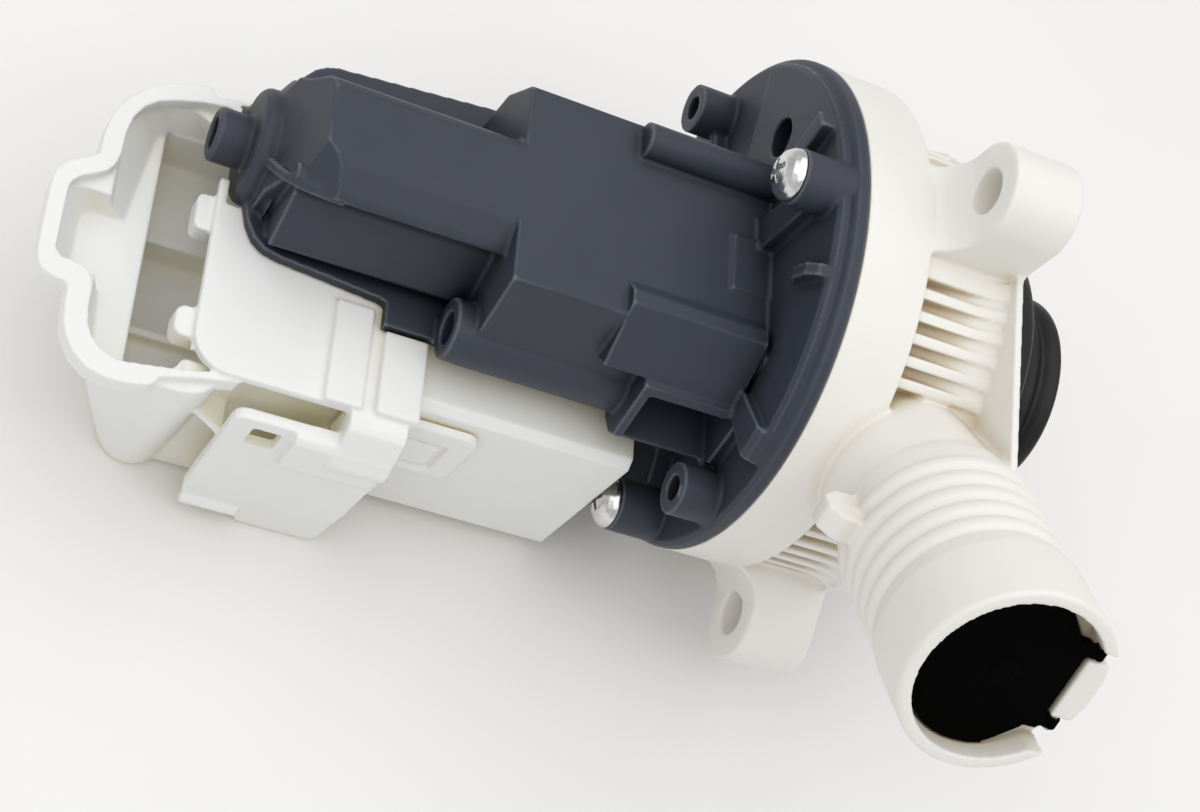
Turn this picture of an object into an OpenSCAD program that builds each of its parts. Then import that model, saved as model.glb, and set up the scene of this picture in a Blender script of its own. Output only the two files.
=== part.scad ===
// Washer drain pump: synchronous motor with a wet rotor, a volute with three
// mounting ears, a rubber inlet sleeve and an outlet with a flap valve.
// Axis of the motor along X, outlet towards -Y and 30 degrees above level, +Z up.

/* [Volute housing] */
// Radius of the motor flange and of the drum that it closes
drum_r = 48; // [46:0.5:50]
// Length of the drum along the motor axis
drum_len = 13.2; // [12:0.2:15]
// Distance from the flange joint to the mounting face
mount_x = 32; // [31:0.5:34]
// Radius of the circle through the three mounting holes
ear_pcr = 56.5; // [55:0.5:58]
// Radius of a mounting hole
ear_hole_r = 4.2; // [3.2:0.1:4.6]
// Radius of the round end of a mounting ear
ear_r = 9; // [8:0.5:10]
// Radius of the neck behind the mounting plate
neck_r = 42; // [41:0.5:43]
// Radius of the mounting plate
plate_r = 48.5; // [48.2:0.1:49]
// Radius of the inlet opening in the plate
inlet_r = 33; // [31:0.5:33.5]

/* [Outlet] */
// Angle of the outlet above level
outlet_tilt = 30; // [30:1:30]
// Position of the outlet axis along the motor axis
outlet_x = 24.4; // [24:0.1:25]
// Distance from the motor axis to the end of the outlet
outlet_end = 101.3; // [100.8:0.1:102]
// Outer radius of the outlet at its end
outlet_r = 18.2; // [18:0.1:18.6]
// Bore radius at the end of the outlet, around the flap
outlet_bore = 15.8; // [15.6:0.1:16]
// Number of raised rings on the outlet
ring_n = 5; // [4:1:6]
// Distance between two rings
ring_pitch = 4.2; // [4.1:0.05:4.2]

/* [Motor] */
// Distance from the flange joint to the end of the rear bearing boss
boss_end = 103.6; // [103:0.2:105]
// Bore radius of the rotor tube
tube_bore = 10.9; // [10.8:0.05:11]
// Outer radius of the rotor tube
tube_r = 12.4; // [12.3:0.05:12.5]
// Radius of the rotor magnet
magnet_r = 10.3; // [9.8:0.1:10.4]
// Radius of the rotor shaft
shaft_r = 2; // [2:0.1:2]
// Height of the flat top of the wide motor block above the axis
block_top = 23; // [22.5:0.1:23.5]

/* [Coil box and terminal cover] */
// Half width of the coil box
box_half = 37.2; // [36.8:0.1:37.4]
// Height of the top of the coil box, below the axis
box_top = -5.5; // [-5.6:0.1:-5.5]
// Height of the underside of the coil box
box_bottom = -45.5; // [-45.6:0.1:-45]
// Position of the free end of the terminal cover
cover_end = -99.8; // [-100.2:0.1:-99.4]
// Thickness of the cover walls
cover_t = 2.2; // [1.8:0.1:2.2]

/* [Impeller] */
// Radius over the impeller blades
impeller_r = 29; // [26:0.5:30]
// Number of blades
blade_n = 6; // [4:1:8]

/* [Hidden] */
$fn = 64;

ear_angles = [90, -30, 210];       // seen from the motor end, from the viewer's side upwards
screw_pcr = 42.5;                  // circle of the flange screws
stack0 = -47;                      // lamination stack, rear face
stack1 = -24;                      // lamination stack, front face
leg_in = 7.5;                      // inner face of a core leg
leg_out = 17.4;                    // outer face of a core leg
grey = [0.27, 0.29, 0.34];
ivory = [0.93, 0.92, 0.88];
white = [0.93, 0.93, 0.93];
rubber = [0.05, 0.05, 0.055];

// Everything below is drawn with the flange joint at x = 0, then moved so that
// the mounting face is at x = 0.
module place() { translate([-mount_x, 0, 0]) children(); }

module cyl(r, x0, x1, y = 0, z = 0) { translate([x0, y, z]) rotate([0, 90, 0]) cylinder(r = r, h = x1 - x0); }
module ring(r1, r0, x0, x1) {
    difference() { cyl(r1, x0, x1); cyl(r0, x0 - 1, x1 + 1); }
}
module box(x0, x1, y0, y1, z0, z1) { translate([x0, y0, z0]) cube([x1 - x0, y1 - y0, z1 - z0]); }
// Position on a circle around the motor axis
module polar(r, a) { translate([0, -r * cos(a), r * sin(a)]) children(); }
// Turned about the motor axis, so that local -Y points outwards at angle a
module spoke(a) { rotate([-a, 0, 0]) children(); }
// Outline in the Y-Z plane, extruded from x0 to x1
module prism(x0, x1, pts) {
    translate([x0, 0, 0]) rotate([90, 0, 90]) linear_extrude(x1 - x0) polygon(pts);
}
// Profile of [radius, x] points turned about the motor axis
module turned(pts) { rotate([0, 90, 0]) rotate_extrude() polygon(pts); }
// Frame of the outlet: local z along the outlet axis, local x along the motor axis
module outlet_frame() { translate([outlet_x, 0, 0]) rotate([90 - outlet_tilt, 0, 0]) children(); }
// Rectangle with round corners
module rrect(x0, x1, y0, y1, r) {
    translate([x0 + r, y0]) square([x1 - x0 - 2 * r, y1 - y0]);
    translate([x0, y0 + r]) square([x1 - x0, y1 - y0 - 2 * r]);
    for (x = [x0 + r, x1 - r], y = [y0 + r, y1 - r]) translate([x, y]) circle(r);
}
module plate_z(z0, z1) { translate([0, 0, z0]) linear_extrude(z1 - z0) children(); }

// ---------------------------------------------------------------- motor housing
module motor_blocks() {
    // Wide block over the pole pieces
    prism(-54.5, -2.9, [[15, block_top], [-25, block_top], [-29, 9], [-29, -3], [20, -3], [20, 12]]);
    // Narrow block around the rear of the rotor tube, with an overhanging near edge and a sloping end
    difference() {
        prism(-94.6, -54.4, [[13.2, -3.05], [13.2, 3], [11, 8], [6.4, 15.6], [4.6, 20.4], [3, 22.2], [1.4, 22.95], [-11.4, 22.95], [-13.4, 22.3], [-17.2, 19.7],
                             [-18.2, 18.7], [-17.8, 17.6], [-12.6, 17.1], [-12.6, 15.2], [-15.6, 13.2], [-19.8, 2.6], [-19.5, 1.5], [-16.4, 0.9], [-16.4, -3.05]]);
        translate([-89.7, 0, 22.3]) rotate([0, -73.2, 0]) box(-50, 30, -40, 40, 0, 30);
        // Side wall stops short of the overhanging edge
        box(-100, -91.3, -40, -12.4, -10, 17.4);
        translate([-94.6, 7, 0]) rotate([0, 0, 45]) box(-30, 30, 0, 30, -10, 40);
        // Near corner of the end falls back to the curved edge
        spoke(46) translate([0, 0, -14]) linear_extrude(28)
            polygon([[-85.2, -26.4], [-88.9, -23.7], [-91.7, -21.5], [-93.6, -18.8], [-100, -18.8], [-100, -45], [-85.2, -45]]);
    }
    // Base plate with round corners, wider towards the flange
    plate_z(-2.98, -0.6) polygon([[-95.9, 4], [-95.9, -9], [-95.5, -11.9], [-94.7, -14.7], [-93.2, -17.4], [-91.2, -19], [-88, -19.8], [-80.6, -20.5], [-69.3, -21.7],
        [-68, -22.2], [-68, -26.6], [-54, -26.6], [-54, 19.4], [-2.9, 19.4], [-2.9, 25.6], [-50, 25.9], [-82.9, 22.8], [-85, 22.1], [-86.9, 20.9], [-89.8, 17.3], [-92.1, 13.3], [-94.5, 9.6]]);
    // Curved end of the overhanging edge, down to the collar
    spoke(46) translate([0, 0, -0.9]) linear_extrude(1.8)
        polygon([[-84, -8], [-84, -25.6], [-86.4, -25.2], [-88.9, -24.1], [-91.7, -22.1], [-93.6, -19.4], [-94.6, -15.8], [-95.4, -11.3], [-95.6, -9], [-95.6, -4]]);
    // Raised block on the near corner, with a gap to the flange
    prism(-33, -6.3, [[-18, 22.9], [-20.8, 25.2], [-23.6, 25.3], [-31, 15], [-28, 12]]);
    // Low block below it, with a deep pocket towards the viewer
    difference() {
        prism(-24.5, -2.9, [[-25, 15.1], [-32.4, 14.7], [-36.6, 2.6], [-35, 0.4], [-31.3, -1.2], [-28, -1.2]]);
        box(-22.6, -5.2, -40, -20, 1.3, 12.8);
    }
    // Round ridge on the far top edge
    cyl(3.4, -32.5, -2.9, 11.2, 24);
    // Low pad near the flange
    box(-13, -2.9, -13, -1.5, 22, 23.6);
    // Rail with an open tubular end
    cyl(5.6, -58.4, -24, -26.4, 4);
}
module motor_housing() {
    color(grey) place() difference() {
        union() {
            // Flange
            turned([[0, -3], [drum_r - 0.8, -3], [drum_r, -2.2], [drum_r, 0], [0, 0]]);
            difference() {
                motor_blocks();
                // Room for the pole pieces, open below
                prism(-49.5, -21.5, [[-18, -4], [18, -4], [18, 13.3], [13.3, 18], [-13.3, 18], [-18, 13.3]]);
                // Deep pocket behind the low block
                box(-22.6, -5.2, -40, -20, 1.3, 12.8);
            }
            // Rotor tube, rear collar and bearing boss
            cyl(tube_r, -92.4, -2.9);
            turned([[0, -92], [10.6, -92], [10.6, -95.8], [10.3, -96.6], [9.6, -97.2], [8.6, -97.4], [4.9, -97.4], [4.9, 0.6 - boss_end], [4.3, -boss_end], [0, -boss_end]]);
            turned([[0, -92.4], [13.4, -92.4], [10.5, -94.2], [0, -94.2]]);
            // Screw bosses and plain bosses
            for (a = ear_angles) polar(screw_pcr, a) cyl(5.1, -12.3, -2.9);
            for (a = [0, 180]) polar(42, a) cyl(4.9, -10.6, -2.9);
            // Ribs that carry the bosses
            spoke(0) box(-6, -2.9, -42, -24, -1, 1);
            spoke(180) box(-6, -2.9, -42, -18, -1, 1);
            spoke(-30) box(-7, -2.9, -42, -30, -1.2, 1.2);
            spoke(210) box(-7, -2.9, -42, -14, -1.2, 1.2);
            spoke(90) box(-8, -2.9, -42, -20, -3.2, 3.2);
            // Raised face across the top of the flange
            intersection() {
                turned([[0, -5.2], [45.7, -5.2], [46.5, -4.4], [46.5, -2.7], [0, -2.7]]);
                spoke(22) box(-10, 0, -60, 60, 0, 60);
                spoke(152.5) box(-10, 0, -60, 60, -60, 0);
            }
            // Thicker lower end of the raised face
            intersection() {
                turned([[34, -6.9], [45.3, -6.9], [46.3, -5.9], [46.3, -2.6], [34, -2.6]]);
                spoke(22.3) box(-10, 0, -60, 0, 0, 60);
                spoke(31) box(-10, 0, -60, 60, -60, 0);
            }
            // Radial ribs on the raised face
            spoke(107) box(-8, -2.8, -46, -36, -1.7, 1.7);
            spoke(68) translate([0, 0, -1.1]) linear_extrude(2.2) polygon([[-2.8, -46.2], [-7, -46.2], [-8.6, -44], [-7.9, -38], [-5, -33.4], [-2.8, -33.4]]);
        }
        // Round recess at the edge of the raised face
        cyl(3.8, -12, -1.4, 21.4, 25.4);
        // Rotor bore and rear bearing pocket
        cyl(tube_bore, -90, 1);
        cyl(7.5, -96, -89.9);
        // Open end of the bearing boss
        cyl(3, -boss_end - 1, -99.5);
        // Open end of the rail
        cyl(3, -60, -48, -26.4, 4);
        // Screw holes
        for (a = ear_angles) polar(screw_pcr, a) cyl(2.2, -14, 1);
        for (a = [0, 180]) polar(42, a) cyl(2.4, -12, -3.4);
    }
}

// ---------------------------------------------------------------- pump housing
module ear(a) {
    spoke(a) difference() {
        union() {
            cyl(ear_r, 18, mount_x, -ear_pcr, 0);
            box(18, mount_x, -ear_pcr, -34.5, -ear_r, ear_r);
            // Hollowed root that runs into the drum
            translate([0, 0, -ear_r]) linear_extrude(2 * ear_r)
                polygon([[18.1, -34.5], [18.1, -53.6], [17.5, -51.6], [16.5, -49.9], [15.2, -48.6], [13.8, -47.8], [12, -47.3], [12, -34.5]]);
        }
        cyl(48, mount_x - 0.7, mount_x + 1);
    }
}
module rib(a, t) {
    spoke(a) translate([0, 0, -t / 2]) linear_extrude(t)
        polygon([[drum_len - 0.1, 1 - neck_r], [drum_len - 0.1, -46.4], [25, -46.4], [28, -47], [30.2, -48.3], [30.2, 1 - neck_r]]);
}
// Lower rib on the far side, where the neck is narrower
module low_rib(a) {
    spoke(a) translate([0, 0, -1]) linear_extrude(2) polygon([[drum_len - 0.1, -37], [drum_len - 0.1, -40.3], [30.2, -40.3], [30.2, -37]]);
}
module outlet_tube() {
    // Root that runs out of the neck
    outlet_frame() translate([-3.6, 0, 34]) rotate([0, 7.6, 0]) cylinder(r1 = 13.6, r2 = 16.3, h = 29);
    outlet_frame() {
        rotate_extrude() polygon([[0, 52], [14.4, 52], [16.6, 59], [17, 62.6], [17, 84], [17.5, 84.6], [outlet_r, 87.6], [outlet_r, outlet_end - 0.5], [outlet_r - 0.5, outlet_end], [0, outlet_end]]);
        for (i = [0 : ring_n - 1]) translate([0, 0, 63.4 + ring_pitch * i])
            rotate_extrude() polygon([[16, 0], [17, 0], [17.65, 0.5], [17.9, 1.2], [17.9, 2.2], [17.65, 2.9], [17, 3.4], [16, 3.4]]);
        // Stop on the side of the outlet
        translate([0, 1.6, 0]) rotate([90, 0, 0]) linear_extrude(5)
            polygon([[-12, 60.2], [-20.6, 60.2], [-23.4, 62.6], [-23.4, 65.6], [-21.2, 68.4], [-12, 69.2]]);
    }
}
module pump_housing() {
    color(ivory) place() difference() {
        union() {
            difference() {
                union() {
                    // Drum, flaring neck and plate
                    cyl(drum_r, 0, drum_len);
                    turned([[0, drum_len - 0.1], [38.6, drum_len - 0.1], [38.6, 27], [40, 30.3], [0, 30.3]]);
                    difference() {
                        turned([[0, drum_len - 0.12], [neck_r, drum_len - 0.12], [neck_r + 0.8, 17], [neck_r + 2.6, 23], [neck_r + 4.3, 27.4], [47.6, 30.32], [0, 30.32]]);
                        box(10, 32, 4, 60, 10, 60);
                    }
                    translate([mount_x - 2, 0, 0]) rotate([90, 0, 90]) linear_extrude(1.6) {
                        circle(40.6);
                        difference() { circle(plate_r); translate([4, 10]) square([60, 60]); }
                        polygon([[0, 0], [0, 48.2], [-7.6, 48.9], [-44.5, 45.4], [-50, 44.6], [-50, 0]]);
                    }
                    // Ribs around the neck
                    for (i = [0 : 4]) rib(50.3 + 5.05 * i, 2);
                    rib(76, 3.4);
                    for (a = [-19 : 5 : 9]) rib(a, 2);
                    for (a = [110 : 8 : 160]) low_rib(a);
                    for (a = [174 : 8 : 194]) rib(a, 2);
                    for (a = [226 : 8 : 316]) rib(a, 2);
                    for (a = ear_angles) ear(a);
                    difference() { outlet_tube(); cyl(52, mount_x - 0.9, mount_x + 20); }
                }
                // Chamber, throat and inlet
                cyl(36.5, -1, 10.8);
                cyl(34, 10.7, mount_x - 4);
                cyl(inlet_r, mount_x - 4.1, mount_x + 1);
                // Hollow ring of the drum, open to the flange
                difference() { ring(45.5, 39, -1, drum_len - 2.4); for (a = ear_angles) polar(screw_pcr, a) cyl(4.8, -2, drum_len); }
                // Seat of the sealing ring
                ring(39.1, 36.4, -1, 2);
                // Outlet passage
                outlet_frame() {
                    translate([-6.4, 0, 20]) cylinder(r = 8.4, h = 44);
                    translate([0, 0, 62]) cylinder(r = 13.8, h = 45);
                    translate([0, 0, 95.7]) cylinder(r = outlet_bore, h = 10);
                }
            }
            // Hinge seat stands inside the bore
            outlet_frame() intersection() {
                translate([13, -7, 94.8]) cube([8, 14, 4]);
                translate([0, 0, 90]) cylinder(r = outlet_r - 0.3, h = 20);
            }
        }
        // Notches for the flap lugs, and the lowered top of the hinge seat
        outlet_frame() {
            translate([11, 6.1, 95.4]) cube([9, 3.8, 8]);
            translate([11, -11.4, 95.4]) cube([9, 5.3, 8]);
            translate([10.6, -6.6, 98.2]) cube([9, 13.2, 6]);
            translate([14.4, -7, 97.1]) rotate([-90, 0, 0]) cylinder(r = 0.82, h = 14);
        }
        // Mounting holes and screw pilots
        for (a = ear_angles) polar(ear_pcr, a) cyl(ear_hole_r, 10, mount_x + 1);
        for (a = ear_angles) polar(screw_pcr, a) cyl(2, -1, 9);
    }
}

// Rubber sleeve with a stepped, beaded end that carries the inlet
module inlet_sleeve() {
    color(rubber) place() turned([[28, 31.65], [39.4, 31.65], [39.8, 33], [39, 34.2], [33.4, 35.4], [30.8, 37], [30.2, 40], [29.8, 44],
        [29.2, 47.4], [28.8, 48.8], [27.6, 49.8], [23, 50.6], [20, 51.6], [18.8, 53], [18.6, 54.6], [19.3, 55.5], [19.5, 56.5], [19.2, 57.5],
        [18.4, 58.2], [18.4, 58.8], [19.3, 59.6], [19.8, 60.8], [19.7, 61.9], [19.2, 62.7], [18, 63], [16.4, 62.6], [15.6, 61.6],
        [15.5, 53], [16.5, 50], [20, 47.4], [26.6, 46.6], [27.2, 44], [28, 36]]);
}

// ---------------------------------------------------------------- outlet flap
module outlet_flap() {
    color(rubber) place() outlet_frame() difference() {
        union() {
            intersection() {
                translate([0, 0, 96.2]) cylinder(r = 15.4, h = 1.8);
                translate([0, 0, 96]) linear_extrude(4)
                    polygon([[-16, -16], [4.6, -16], [4.6, -14.4], [6.2, -13], [9.4, -9.7], [9.5, -9.2], [12.2, -9.2],
                             [12.2, 9.2], [9.5, 9.2], [9.4, 9.7], [6.2, 13], [4.6, 14.4], [4.6, 16], [-16, 16]]);
            }
            // Low round boss in the middle
            translate([0, 0, 97.9]) cylinder(r = 2.4, h = 0.3);
            for (s = [-1, 1]) translate([0, s * 7.5, 0]) {
                translate([8, -1.1, 96.25]) cube([6.4, 2.2, 1.7]);
                translate([14.4, -1.1, 97.1]) rotate([-90, 0, 0]) cylinder(r = 1.3, h = 2.2);
            }
        }
        translate([14.4, -12, 97.1]) rotate([-90, 0, 0]) cylinder(r = 0.86, h = 24);
    }
}
module flap_pin() {
    color([0.75, 0.76, 0.78]) place() outlet_frame() translate([14.4, -9, 97.1]) rotate([-90, 0, 0]) cylinder(r = 0.8, h = 18);
}

// ---------------------------------------------------------------- impeller and rotor
module sector(r1, r0, x0, x1, a, half) {
    intersection() {
        ring(r1, r0, x0, x1);
        rotate([a, 0, 0]) prism(x0 - 1, x1 + 1, [[0, 0], [20 * tan(half), 20], [-20 * tan(half), 20]]);
    }
}
module impeller() {
    color([0.82, 0.83, 0.8]) place() difference() {
        union() {
            cyl(10, 2.8, 15.6);
            turned([[0, 15.5], [10, 15.5], [8.4, 18.6], [4, 20], [0, 20]]);
            difference() { cyl(26, 3, 4.8); cyl(9, 2, 6); }
            for (i = [0 : blade_n - 1]) rotate([i * 360 / blade_n, 0, 0])
                translate([0, -1, 0]) rotate([90, 0, 0]) translate([0, 0, -2]) linear_extrude(2)
                    polygon([[4.7, 8], [4.7, impeller_r], [15, impeller_r], [19, 22], [19, 8]]);
        }
        difference() {
            cyl(8.3, 2, 10);
            sector(9, 4.9, 1, 11, 0, 25);
        }
        cyl(shaft_r + 0.06, 9, 15.4);
    }
}
module drive_dog() {
    color([0.25, 0.25, 0.27]) place() difference() {
        union() { cyl(4.5, 3.4, 9.5); sector(7.9, 4.2, 3.4, 9.5, 180, 25); }
        cyl(shaft_r + 0.005, 3, 10);
    }
}
module rotor_shaft() { color([0.8, 0.8, 0.82]) place() turned([[0, -95], [shaft_r - 0.3, -95], [shaft_r, -94.7], [shaft_r, 14.7], [shaft_r - 0.3, 15], [0, 15]]); }
module rotor_carrier() {
    color([0.2, 0.2, 0.22]) place() turned([[shaft_r + 0.005, -84], [9, -84], [9, -82.05], [4, -82.05], [4, -13.95], [9, -13.95], [9, -12], [shaft_r + 0.005, -12]]);
}
module rotor_magnet() { color([0.35, 0.35, 0.37]) place() ring(magnet_r, 4.02, -82, -14); }
module thrust_washers() {
    color([0.85, 0.8, 0.6]) place() { ring(4.6, shaft_r + 0.02, -89.4, -88.6); ring(4.6, shaft_r + 0.02, -9.4, -8.6); }
}
module rear_bearing() { color([0.35, 0.3, 0.26]) place() ring(4, shaft_r + 0.05, -95.4, -90.4); }
module rear_bearing_rubber() { color(rubber) place() ring(7.48, 4.02, -95.6, -90.2); }
module front_bearing() { color([0.35, 0.3, 0.26]) place() ring(3.7, shaft_r + 0.05, -6.8, -0.6); }
module front_bearing_rubber() { color(rubber) place() ring(5.48, 3.72, -6.9, -0.5); }
module bearing_plate() {
    color([0.8, 0.8, 0.78]) place() difference() {
        union() { cyl(10.85, -7, 0.1); cyl(20, 0.05, 2); }
        cyl(5.5, -8, -0.3);
        cyl(3.2, -1, 3);
    }
}
module chamber_oring() { color(rubber) place() rotate([0, 90, 0]) translate([0, 0, 1]) rotate_extrude() translate([37.75, 0]) circle(0.94); }

// ---------------------------------------------------------------- fasteners
module screw() {
    difference() {
        union() {
            turned([[0, -15.9], [1.4, -15.8], [2.8, -15.4], [4, -14.6], [4.7, -13.6], [4.9, -12.9], [4.9, -12.4], [0, -12.4]]);
            cyl(1.95, -12.5, 8);
        }
        // Cross recess
        box(-17, -14.2, -2.3, 2.3, -0.5, 0.5);
        box(-17, -14.2, -0.5, 0.5, -2.3, 2.3);
    }
}
module housing_screws() { color([0.78, 0.79, 0.8]) place() for (a = ear_angles) polar(screw_pcr, a) screw(); }

// ---------------------------------------------------------------- stator and coils
module stator_core() {
    color([0.45, 0.45, 0.47]) place() difference() {
        prism(stack0, stack1, [[-leg_out, -43], [leg_out, -43], [leg_out, 13], [13, leg_out], [-13, leg_out], [-leg_out, 13]]);
        cyl(tube_r + 0.3, stack0 - 1, stack1 + 1);
        box(stack0 - 1, stack1 + 1, -leg_in, leg_in, -33, 0);
        box(stack0 - 1, stack1 + 1, -1.6, 1.6, 8, 20);
    }
}
module bobbin(s) {
    y0 = leg_in - 0.1; y1 = leg_out + 0.1;
    mirror([0, s < 0 ? 1 : 0, 0]) difference() {
        union() {
            box(stack0 - 1.2, stack1 + 1.2, y0 - 1.1, y1 + 1.1, -32.6, -13.6);
            box(stack0 - 5.9, stack1 + 5.7, y0 - 5.8, y1 + 6.2, -32.6, -31.4);
            box(stack0 - 5.9, stack1 + 5.7, y0 - 5.8, y1 + 6.2, -14.8, -13.6);
        }
        box(stack0 - 0.1, stack1 + 0.1, y0, y1, -40, 0);
    }
}
module coil_bobbins() {
    color([0.9, 0.88, 0.8]) place() {
        bobbin(1);
        difference() {
            union() {
                bobbin(-1);
                // Terminal block that reaches into the cover
                box(-84.2, -52.4, -26, -12, -22.8, -13.8);
            }
            for (y = [-23.4, -17.4]) box(-86, -79.9, y - 0.45, y + 0.45, -22.1, -15.6);
        }
    }
}
module coil_windings() {
    color([0.72, 0.4, 0.2]) place() for (s = [0, 1]) mirror([0, s, 0]) difference() {
        box(stack0 - 5.3, stack1 + 5.1, leg_in - 5.2, leg_out + 5.6, -31.3, -14.9);
        box(stack0 - 1.25, stack1 + 1.25, leg_in - 1.25, leg_out + 1.25, -40, 0);
    }
}
module coil_terminals() {
    color([0.8, 0.78, 0.7]) place() for (y = [-23.4, -17.4]) box(-92, -80, y - 0.4, y + 0.4, -22, -15.7);
}

// ---------------------------------------------------------------- white boxes
module coil_box() {
    color(white) place() difference() {
        union() {
            prism(-58.6, -16, [[-35.6, box_bottom], [24.8, box_bottom], [26.4, box_bottom + 1.6], [26.4, -9.5], [22.4, box_top],
                               [-35.6, box_top], [-box_half, box_top - 1.6], [-box_half, box_bottom + 1.6]]);
            // Narrower end that goes into the cover
            prism(-66, -58.5, [[-35.7, box_bottom + 0.1], [16.5, box_bottom + 0.1], [16.5, box_top - 0.1], [-35.7, box_top - 0.1],
                               [0.1 - box_half, box_top - 1.6], [0.1 - box_half, box_bottom + 1.6]]);
        }
        // Inside, open to the cover
        prism(-57, -18.2, [[-35, box_bottom + 2.2], [24.2, box_bottom + 2.2], [24.2, -12], [20, box_top - 2.2], [-35, box_top - 2.2]]);
        box(-67, -56.9, -34.9, 14.3, box_bottom + 2.3, box_top - 2.3);
        // Opening for the pole pieces and the rotor tube
        box(-67, -21, -20, 19.9, -20, 0);
        box(-22, -15, -13.4, 13.4, -14, 0);
        cyl(13.4, -22, -15, 0, 0);
        // Round mark on the top face
        difference() { cylinderz(2.9, -25.2, -33, box_top - 0.25, 1); cylinderz(2.6, -25.2, -33, box_top - 1, 3); }
    }
}
module cylinderz(r, x, y, z, h) { translate([x, y, z]) cylinder(r = r, h = h); }

// Tapering body of the connector shroud
module shroud_body() {
    hull() {
        translate([0, 0, -7]) linear_extrude(0.5) rrect(-118.8, -92, -47, 10.2, 8);
        translate([0, 0, -47.9]) linear_extrude(0.5) rrect(-104, -92, -42, 5, 6);
    }
    hull() {
        translate([0, 0, -7]) linear_extrude(0.5) rrect(-126.2, -112, -32.4, -11.4, 4);
        translate([0, 0, -30]) linear_extrude(0.5) rrect(-115, -107, -31, -13, 3.5);
    }
}
// Edges of the lip seen from above, from the far side round to the near side
lip_outer = [[-93, 12.7], [-102.6, 11], [-104.1, 12.6], [-107.2, 12], [-111.5, 10.5], [-114.8, 8.3], [-117.8, 4.9], [-119.5, 1.8],
    [-120.5, -1.7], [-120.8, -5.5], [-120.9, -8.2], [-123.1, -9.7], [-126, -11.7], [-127.4, -14], [-127.7, -17.3], [-127.7, -25.3],
    [-127.5, -29.8], [-127.1, -31.8], [-126, -33.2], [-124.3, -33.9], [-121.6, -34.3], [-121.5, -37.7], [-121.1, -41.3], [-120.2, -43.9],
    [-118.6, -46.4], [-116, -48.5], [-112.7, -49.4], [-109.3, -49.4], [-105.6, -48.6], [-104.4, -47.7], [-103.9, -46.4], [-97.3, -44.7], [-90.6, -43.5]];
lip_inner = [[-90.6, -41.6], [-95, -42.7], [-99.2, -43.7], [-105.9, -44.8], [-110, -45.4], [-112.2, -45.2], [-114.4, -44.2], [-116.1, -42.5],
    [-117.1, -40.1], [-117.4, -37.3], [-117.5, -33.5], [-118.2, -31.4], [-119.5, -30.2], [-121.2, -29.9], [-123.4, -29.8], [-124.6, -28.5],
    [-124.7, -25.2], [-124.7, -17.2], [-124.3, -15.1], [-123, -13.6], [-120.9, -12.4], [-118.9, -11], [-117.9, -9.6], [-117.3, -7.7],
    [-117.1, -5.1], [-116.9, -1.5], [-116.2, 1.5], [-114.8, 3.9], [-112.6, 6], [-109.2, 7.4], [-104.8, 8.7], [-93, 10.6]];
module latch_bracket() {
    // Plate that stands off the cover's side
    difference() {
        translate([0, -45.4, 0]) rotate([90, 0, 0]) linear_extrude(2.2)
            polygon([[-89.4, -11], [-89.3, -9.4], [-88.4, -8.3], [-87, -8], [-62, -7.6], [-60, -9], [-59.4, -20], [-59.8, -35], [-60.9, -46.6], [-61.6, -47.6],
                     [-63, -47.9], [-75, -47.9], [-76.4, -47.3], [-78, -43.6], [-86, -43.2], [-87.8, -42.2], [-88.7, -40], [-89, -36]]);
        box(-85, -80, -50, -44, -17, -11.1);
    }
    // Rounded foot along the lower rear edge
    cyl(1.25, -88.2, -77.4, -47.7, -42.9);
    // Web that ties the plate to the cover
    box(-71, -59.5, -45.6, -39.7, -34, -17);
    // Raised blocks on the plate
    prism(-78.3, -61, [[-47.5, -7.9], [-48.4, -7.9], [-49.4, -9.2], [-49.4, -18.6], [-47.5, -20.2]]);
    prism(-71, -60.4, [[-41, -3], [-45.6, -3], [-46.8, -3.8], [-50.2, -11.4], [-50.2, -13], [-49.2, -14], [-41, -14]]);
    // Sloping web next to the shroud
    translate([0, 0, -19.6]) linear_extrude(1.4) polygon([[-95, -38], [-95, -42.6], [-88.6, -46.6], [-88.6, -38]]);
}
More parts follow.
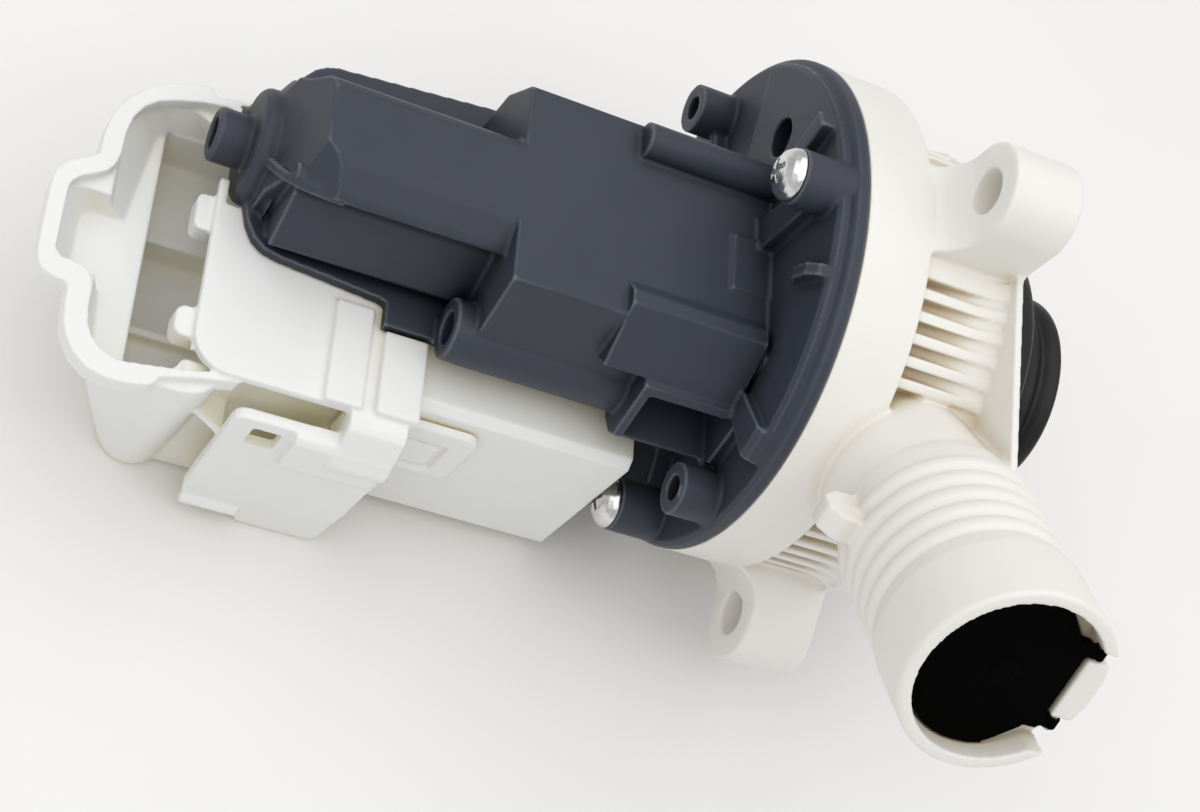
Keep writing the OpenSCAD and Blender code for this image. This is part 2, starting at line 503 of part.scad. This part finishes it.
module terminal_cover() {
    color(white) place() union() {
        difference() {
            union() {
                // Sleeve over the end of the coil box
                box(cover_end, -59, -39.8, 12, -47.85, -5);
                box(-88, -59.05, -39.7, 19, -47.8, -4.9);
                // Top panel with round corners
                plate_z(-5.2, -3.2) { rrect(cover_end - 0.05, -75, -43, 12.3, 7); translate([-90, -43]) square([31, 55]); translate([-88.1, 0]) square([29.1, 19.1]); }
                // Two strips across the panel
                box(-76.4, -69.4, -43.05, -23.2, -3.3, -1.8);
                box(-67.2, -59.1, -43.1, -27, -3.4, -1.4);
                // Shroud and its lip
                shroud_body();
                plate_z(-8.2, -4.4) polygon(concat(lip_outer, lip_inner));
            }
            // Well of the shroud, down to its ledge
            plate_z(-7.2, -4.3) polygon(concat([for (i = [3 : 31]) lip_inner[i]], [[cover_end - 0.06, 9.4], [cover_end - 0.06, -43.8]]));
            hull() {
                plate_z(-7.1, -6.9) rrect(-117, cover_end - 0.06, -44.9, 8.3, 7);
                plate_z(-14, -13.9) polygon([[cover_end - 0.06, 7.2], [-107, 7], [-110, 5], [-112, -8], [-115, -28], [-114.2, -38], [-111.5, -42.8], [-108, -44.1], [cover_end - 0.06, -44.1]]);
            }
            hull() {
                plate_z(-7.1, -6.9) rrect(-124.3, -113, -29.7, -13.7, 3);
                plate_z(-14, -13.9) rrect(-120.6, -111, -28.6, -13.8, 3);
            }
            // Connector bay, under the panel as well, with a lower floor and a hole in it
            box(-108.3, -92.5, -40.5, 6.8, -24, -5.3);
            box(-93, -86.5, -37.4, 6.9, -23.95, -5.35);
            box(-95.5, -86, 0, 11.2, -14.5, -5.4);
            box(-107, -92, -38, -29, -26, -23);
            box(-107, -92, -27.4, -10, -30, -23.5);
            // Hollow of the sleeve
            box(-88.2, -50, -37.5, 9.8, -45.72, -5.25);
            box(-86, -50, -37.4, 16.8, -45.68, -5.3);
            // Slot for the rotor tube, the collar and the boss
            box(-93.2, -58, -13.4, 13.4, -8, 0);
            box(-94.6, -92, -12.4, 12.4, -8.1, 0);
        box(-98.2, -91.9, -10.8, 10.8, -12, 0);
            box(-104, -97, -5.8, 5.8, -9, 0);
        }
        latch_bracket();
        // Tongue on the side of the coil box with a U slot
        difference() {
            translate([0, -37.6, 0]) rotate([90, 0, 0]) linear_extrude(1.8) rrect(-63, -44.2, -26.4, -9.2, 3);
            box(-57, -48.6, -41, -38.3, -23.8, -22.7);
            box(-49.7, -48.6, -41, -38.32, -23.7, -14.2);
            box(-57, -48.7, -41, -38.34, -15.3, -14.15);
        }
        // Two small blocks at the end of the panel
        plate_z(-9, -4.6) rrect(-102.9, -97.5, -16.4, -9.2, 1.4);
        plate_z(-9, -4.5) rrect(-103.2, -97.5, -37.6, -31.8, 1.8);
    }
}

motor_housing();
pump_housing();
inlet_sleeve();
outlet_flap();
flap_pin();
impeller();
drive_dog();
rotor_shaft();
rotor_carrier();
rotor_magnet();
rear_bearing();
rear_bearing_rubber();
front_bearing();
front_bearing_rubber();
thrust_washers();
bearing_plate();
chamber_oring();
housing_screws();
stator_core();
coil_bobbins();
coil_windings();
coil_terminals();
coil_box();
terminal_cover();
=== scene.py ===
import math

import bmesh
import bpy
from mathutils import Matrix, Vector


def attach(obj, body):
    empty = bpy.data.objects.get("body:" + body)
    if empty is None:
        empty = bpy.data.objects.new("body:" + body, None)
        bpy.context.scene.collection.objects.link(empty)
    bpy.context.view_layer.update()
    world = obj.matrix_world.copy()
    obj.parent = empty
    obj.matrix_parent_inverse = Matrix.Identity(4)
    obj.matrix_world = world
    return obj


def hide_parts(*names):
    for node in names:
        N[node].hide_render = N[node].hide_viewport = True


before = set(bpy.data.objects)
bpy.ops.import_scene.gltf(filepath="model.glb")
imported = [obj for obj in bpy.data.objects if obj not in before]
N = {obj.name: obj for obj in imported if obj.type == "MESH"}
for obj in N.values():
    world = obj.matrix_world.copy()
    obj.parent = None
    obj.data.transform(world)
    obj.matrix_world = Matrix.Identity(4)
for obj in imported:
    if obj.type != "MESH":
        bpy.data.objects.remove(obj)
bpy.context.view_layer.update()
scene = bpy.context.scene

FLOOR_Z = -0.0482


# ------------------------------------------------------------------ materials
def new_mat(name):
    m = bpy.data.materials.new(name)
    m.use_nodes = True
    nt = m.node_tree
    nt.nodes.clear()
    out = nt.nodes.new("ShaderNodeOutputMaterial")
    bsdf = nt.nodes.new("ShaderNodeBsdfPrincipled")
    nt.links.new(bsdf.outputs[0], out.inputs[0])
    return m, nt, bsdf


def noise(nt, vec, scale, detail, rough=0.55):
    n = nt.nodes.new("ShaderNodeTexNoise")
    n.inputs["Scale"].default_value = scale
    n.inputs["Detail"].default_value = detail
    n.inputs["Roughness"].default_value = rough
    nt.links.new(vec, n.inputs["Vector"])
    return n.outputs["Fac"]


def span(nt, val, a, b, lo, hi):
    r = nt.nodes.new("ShaderNodeMapRange")
    r.inputs["From Min"].default_value = a
    r.inputs["From Max"].default_value = b
    r.inputs["To Min"].default_value = lo
    r.inputs["To Max"].default_value = hi
    nt.links.new(val, r.inputs["Value"])
    return r.outputs["Result"]


def mix(nt, fac, a, b):
    m = nt.nodes.new("ShaderNodeMix")
    m.data_type = "RGBA"
    nt.links.new(fac, m.inputs[0])
    for sock, v in ((m.inputs[6], a), (m.inputs[7], b)):
        if isinstance(v, tuple):
            sock.default_value = (*v, 1)
        else:
            nt.links.new(v, sock)
    return m.outputs[2]


def moulded(name, col, col2, rough=(0.36, 0.5), bump=0.06, grain=2600.0, mottle=55.0, spec=0.45,
            painted_hollow_light=None, painted_hollow_light_dist=0.008, painted_hollow_light_rng=(0.25, 0.8), painted_edge_highlight=None, painted_edge_highlight_rng=(0.52, 0.6)):
    """Moulded plastic or rubber: mottled colour, fine grain, an AO-driven colour painted into hollows to stand in
    for their shade and warm glow, and a painted highlight on convex edges.
    """
    m, nt, b = new_mat(name)
    tc = nt.nodes.new("ShaderNodeTexCoord").outputs["Object"]
    n1 = noise(nt, tc, mottle, 6, 0.6)
    c = mix(nt, span(nt, n1, 0.3, 0.72, 0, 1), col2, col)
    # painted light in hollows: where ambient occlusion is low the colour is mixed toward the given hollow colour, a
    # painted shade in recesses (on white a painted warm glow)
    if painted_hollow_light:
        ao = nt.nodes.new("ShaderNodeAmbientOcclusion")
        ao.samples = 8
        ao.inputs["Distance"].default_value = painted_hollow_light_dist
        c = mix(nt, span(nt, ao.outputs["AO"], painted_hollow_light_rng[0], painted_hollow_light_rng[1], 0, 1), painted_hollow_light, c)
    # painted highlight: convex edges, found by pointiness, are lightened toward the given edge colour
    if painted_edge_highlight:
        g = nt.nodes.new("ShaderNodeNewGeometry")
        c = mix(nt, span(nt, g.outputs["Pointiness"], painted_edge_highlight_rng[0], painted_edge_highlight_rng[1], 0, 1), c, painted_edge_highlight)
    nt.links.new(c, b.inputs["Base Color"])
    nt.links.new(span(nt, n1, 0.2, 0.8, rough[0], rough[1]), b.inputs["Roughness"])
    bp = nt.nodes.new("ShaderNodeBump")
    bp.inputs["Strength"].default_value = bump
    bp.inputs["Distance"].default_value = 0.0002
    nt.links.new(noise(nt, tc, grain, 3), bp.inputs["Height"])
    nt.links.new(bp.outputs["Normal"], b.inputs["Normal"])
    b.inputs["Specular IOR Level"].default_value = spec
    return m


def metal(name, col, rough=(0.22, 0.4), scale=900.0, bump=0.05):
    m, nt, b = new_mat(name)
    tc = nt.nodes.new("ShaderNodeTexCoord").outputs["Object"]
    n1 = noise(nt, tc, scale, 5)
    nt.links.new(span(nt, n1, 0.25, 0.75, rough[0], rough[1]), b.inputs["Roughness"])
    nt.links.new(mix(nt, span(nt, n1, 0.3, 0.7, 0, 1), tuple(v * 0.82 for v in col), col), b.inputs["Base Color"])
    bp = nt.nodes.new("ShaderNodeBump")
    bp.inputs["Strength"].default_value = bump
    bp.inputs["Distance"].default_value = 0.0001
    nt.links.new(n1, bp.inputs["Height"])
    nt.links.new(bp.outputs["Normal"], b.inputs["Normal"])
    b.inputs["Metallic"].default_value = 1.0
    return m


# grey: painted shade darkens hollows and a painted highlight lightens convex edges
GREY = moulded("grey_plastic", (0.044, 0.050, 0.069), (0.037, 0.043, 0.060), rough=(0.42, 0.55), bump=0.10, mottle=70, spec=0.3,
               painted_hollow_light=(0.006, 0.007, 0.010), painted_hollow_light_dist=0.008, painted_hollow_light_rng=(0.2, 0.88), painted_edge_highlight=(0.15, 0.165, 0.205), painted_edge_highlight_rng=(0.512, 0.575))
# ivory: tan painted shade in hollows
IVORY = moulded("ivory_plastic", (0.83, 0.815, 0.775), (0.805, 0.79, 0.745), rough=(0.34, 0.46), bump=0.05,
                painted_hollow_light=(0.60, 0.50, 0.33), painted_hollow_light_dist=0.006, painted_hollow_light_rng=(0.2, 0.82))
# white: a warm yellow glow painted into hollows, lighter than the base colour
WHITE = moulded("white_plastic", (0.83, 0.832, 0.825), (0.805, 0.807, 0.795), rough=(0.36, 0.48), bump=0.05,
                painted_hollow_light=(0.92, 0.87, 0.66), painted_hollow_light_dist=0.020, painted_hollow_light_rng=(0.06, 0.62))
BLACK = moulded("black_rubber", (0.0075, 0.0072, 0.0076), (0.0050, 0.0048, 0.0052), rough=(0.36, 0.55), bump=0.12, mottle=160, spec=0.35)
FLAPBLACK = moulded("flap_rubber", (0.0012, 0.0012, 0.0011), (0.0008, 0.0008, 0.0007), rough=(0.6, 0.75), bump=0.12, mottle=160, spec=0.02)
DARK = moulded("dark_plastic", (0.03, 0.03, 0.034), (0.022, 0.022, 0.026))
BOBBIN = moulded("bobbin_plastic", (0.62, 0.55, 0.42), (0.56, 0.5, 0.38))
PUMPIN = moulded("impeller_plastic", (0.52, 0.53, 0.51), (0.47, 0.48, 0.47))
ZINC = metal("zinc_steel", (0.78, 0.78, 0.78), rough=(0.16, 0.3))
STEEL = metal("ground_steel", (0.60, 0.60, 0.61))
LAMIN = metal("lamination_steel", (0.30, 0.30, 0.31), rough=(0.35, 0.55))
COPPER = metal("copper_wire", (0.62, 0.25, 0.11), rough=(0.3, 0.45))
TIN = metal("tinned_brass", (0.70, 0.67, 0.58))
FERRITE = moulded("ferrite", (0.06, 0.06, 0.065), (0.045, 0.045, 0.05), rough=(0.5, 0.7))

mats = {
    "motor_housing": GREY, "pump_housing": IVORY, "inlet_sleeve": BLACK, "outlet_flap": FLAPBLACK, "flap_pin": STEEL,
    "impeller": PUMPIN, "drive_dog": DARK, "rotor_shaft": STEEL, "rotor_carrier": DARK, "rotor_magnet": FERRITE,
    "rear_bearing": DARK, "rear_bearing_rubber": BLACK, "front_bearing": DARK, "front_bearing_rubber": BLACK,
    "thrust_washers": DARK, "bearing_plate": PUMPIN, "chamber_oring": BLACK, "housing_screws": ZINC,
    "stator_core": LAMIN, "coil_bobbins": BOBBIN, "coil_windings": COPPER, "coil_terminals": TIN,
    "coil_box": WHITE, "terminal_cover": WHITE,
}
for n, m in mats.items():
    N[n].data.materials.clear()
    N[n].data.materials.append(m)


# ------------------------------------------------------------------ rounded mouldings
def skin(node, body, voxel, rounds, keep, plugs=()):
    """The node's own shape with the soft, radiused edges of a moulding; plugs close gaps too thin for it."""
    ob = bpy.data.objects.new(node + "_moulding", N[node].data.copy())
    scene.collection.objects.link(ob)
    for p0, p1, rad in plugs:
        bm = bmesh.new()
        bm.from_mesh(ob.data)
        turn = (p1 - p0).to_track_quat("Z", "Y").to_matrix().to_4x4()
        bmesh.ops.create_cone(bm, cap_ends=True, segments=24, radius1=rad, radius2=rad, depth=(p1 - p0).length,
                              matrix=ob.matrix_world.inverted() @ Matrix.Translation((p0 + p1) / 2) @ turn)
        bm.to_mesh(ob.data)
        bm.free()
    r = ob.modifiers.new("remesh", "REMESH")
    r.mode = "VOXEL"
    r.voxel_size = voxel
    s = ob.modifiers.new("smooth", "SMOOTH")
    s.factor = 0.5
    s.iterations = rounds
    if keep < 1:
        d = ob.modifiers.new("reduce", "DECIMATE")
        d.ratio = keep
    dg = bpy.context.evaluated_depsgraph_get()
    me = bpy.data.meshes.new_from_object(ob.evaluated_get(dg))
    ob.modifiers.clear()
    ob.data = me
    me.materials.clear()
    me.materials.append(mats[node])
    me.polygons.foreach_set("use_smooth", [True] * len(me.polygons))
    me.polygons.foreach_set("material_index", [0] * len(me.polygons))
    me.update()
    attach(ob, body)
    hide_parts(node)
    print("skin", node, len(me.polygons))
    return ob


skin("motor_housing", "base", 0.00034, 3, 0.22,
     [(Vector((-0.1212, -0.0130, 0.0160)), Vector((-0.1243, -0.0130, 0.0160)), 0.0014),
      (Vector((-0.1220, -0.0140, 0.0162)), Vector((-0.1239, -0.0137, 0.0158)), 0.0012)])
PIN = Vector((0.0068, -0.0840911, 0.04855))
ALONG = Vector((0, 0.5, 0.8660254))
skin("pump_housing", "base", 0.00038, 4, 0.22, [(PIN - ALONG * 0.00604, PIN + ALONG * 0.00604, 0.00096)])
skin("terminal_cover", "base", 0.00034, 4, 0.25)
skin("coil_box", "base", 0.0004, 4, 0.2)
skin("inlet_sleeve", "base", 0.0005, 5, 0.4)
skin("outlet_flap", "flap", 0.00022, 4, 0.5)
skin("housing_screws", "base", 0.00014, 4, 0.5)

# ------------------------------------------------------------------ stage
bpy.ops.mesh.primitive_plane_add(size=6, location=(0, 0, FLOOR_Z))
floor = bpy.context.object
floor.name = "floor"
fm, fnt, fb = new_mat("floor_paper")
ftc = fnt.nodes.new("ShaderNodeTexCoord").outputs["Object"]
fnt.links.new(mix(fnt, span(fnt, noise(fnt, ftc, 9, 3), 0.3, 0.7, 0, 1), (0.83, 0.822, 0.81), (0.86, 0.853, 0.845)), fb.inputs["Base Color"])
fb.inputs["Roughness"].default_value = 0.75
floor.data.materials.append(fm)

# ------------------------------------------------------------------ camera
R = Vector((0.88758, 0.06307, 0.45631))
U = Vector((-0.26940, 0.87459, 0.40313))
F = Vector((0.37366, 0.48074, -0.79326))
P = Vector((-0.17414 - 0.032, -0.22056, 0.31433))
cam_d = bpy.data.cameras.new("photo_camera")
cam = bpy.data.objects.new("photo_camera", cam_d)
scene.collection.objects.link(cam)
cam.matrix_world = Matrix((
    (R.x, U.x, -F.x, P.x),
    (R.y, U.y, -F.y, P.y),
    (R.z, U.z, -F.z, P.z),
    (0, 0, 0, 1),
))
cam_d.sensor_width = 36
cam_d.lens = 2213 / 1200 * 36
cam_d.clip_start = 0.01
cam_d.clip_end = 20
scene.camera = cam


# ------------------------------------------------------------------ light
def area(name, loc, target, size, power, col=(1, 1, 1)):
    d = bpy.data.lights.new(name, "AREA")
    d.shape = "RECTANGLE"
    d.size, d.size_y = size
    d.energy = power
    d.color = col
    o = bpy.data.objects.new(name, d)
    scene.collection.objects.link(o)
    o.location = loc
    o.rotation_mode = "QUATERNION"
    o.rotation_quaternion = (Vector(target) - Vector(loc)).to_track_quat("-Z", "Y")
    return o


area("key", (-0.06, -0.04, 1.2), (-0.04, -0.03, 0), (2.4, 2.4), 16.6)
area("fill", (-0.75, -0.3, 0.6), (-0.03, 0, 0), (0.7, 0.7), 0.5)
area("side", (0.7, -0.3, 0.7), (0, 0, 0), (0.5, 0.5), 0.4)
w = bpy.data.worlds.new("studio")
w.use_nodes = True
w.node_tree.nodes["Background"].inputs[0].default_value = (1, 1, 1, 1)
w.node_tree.nodes["Background"].inputs[1].default_value = 0.55
scene.world = w
scene.view_settings.view_transform = "Standard"
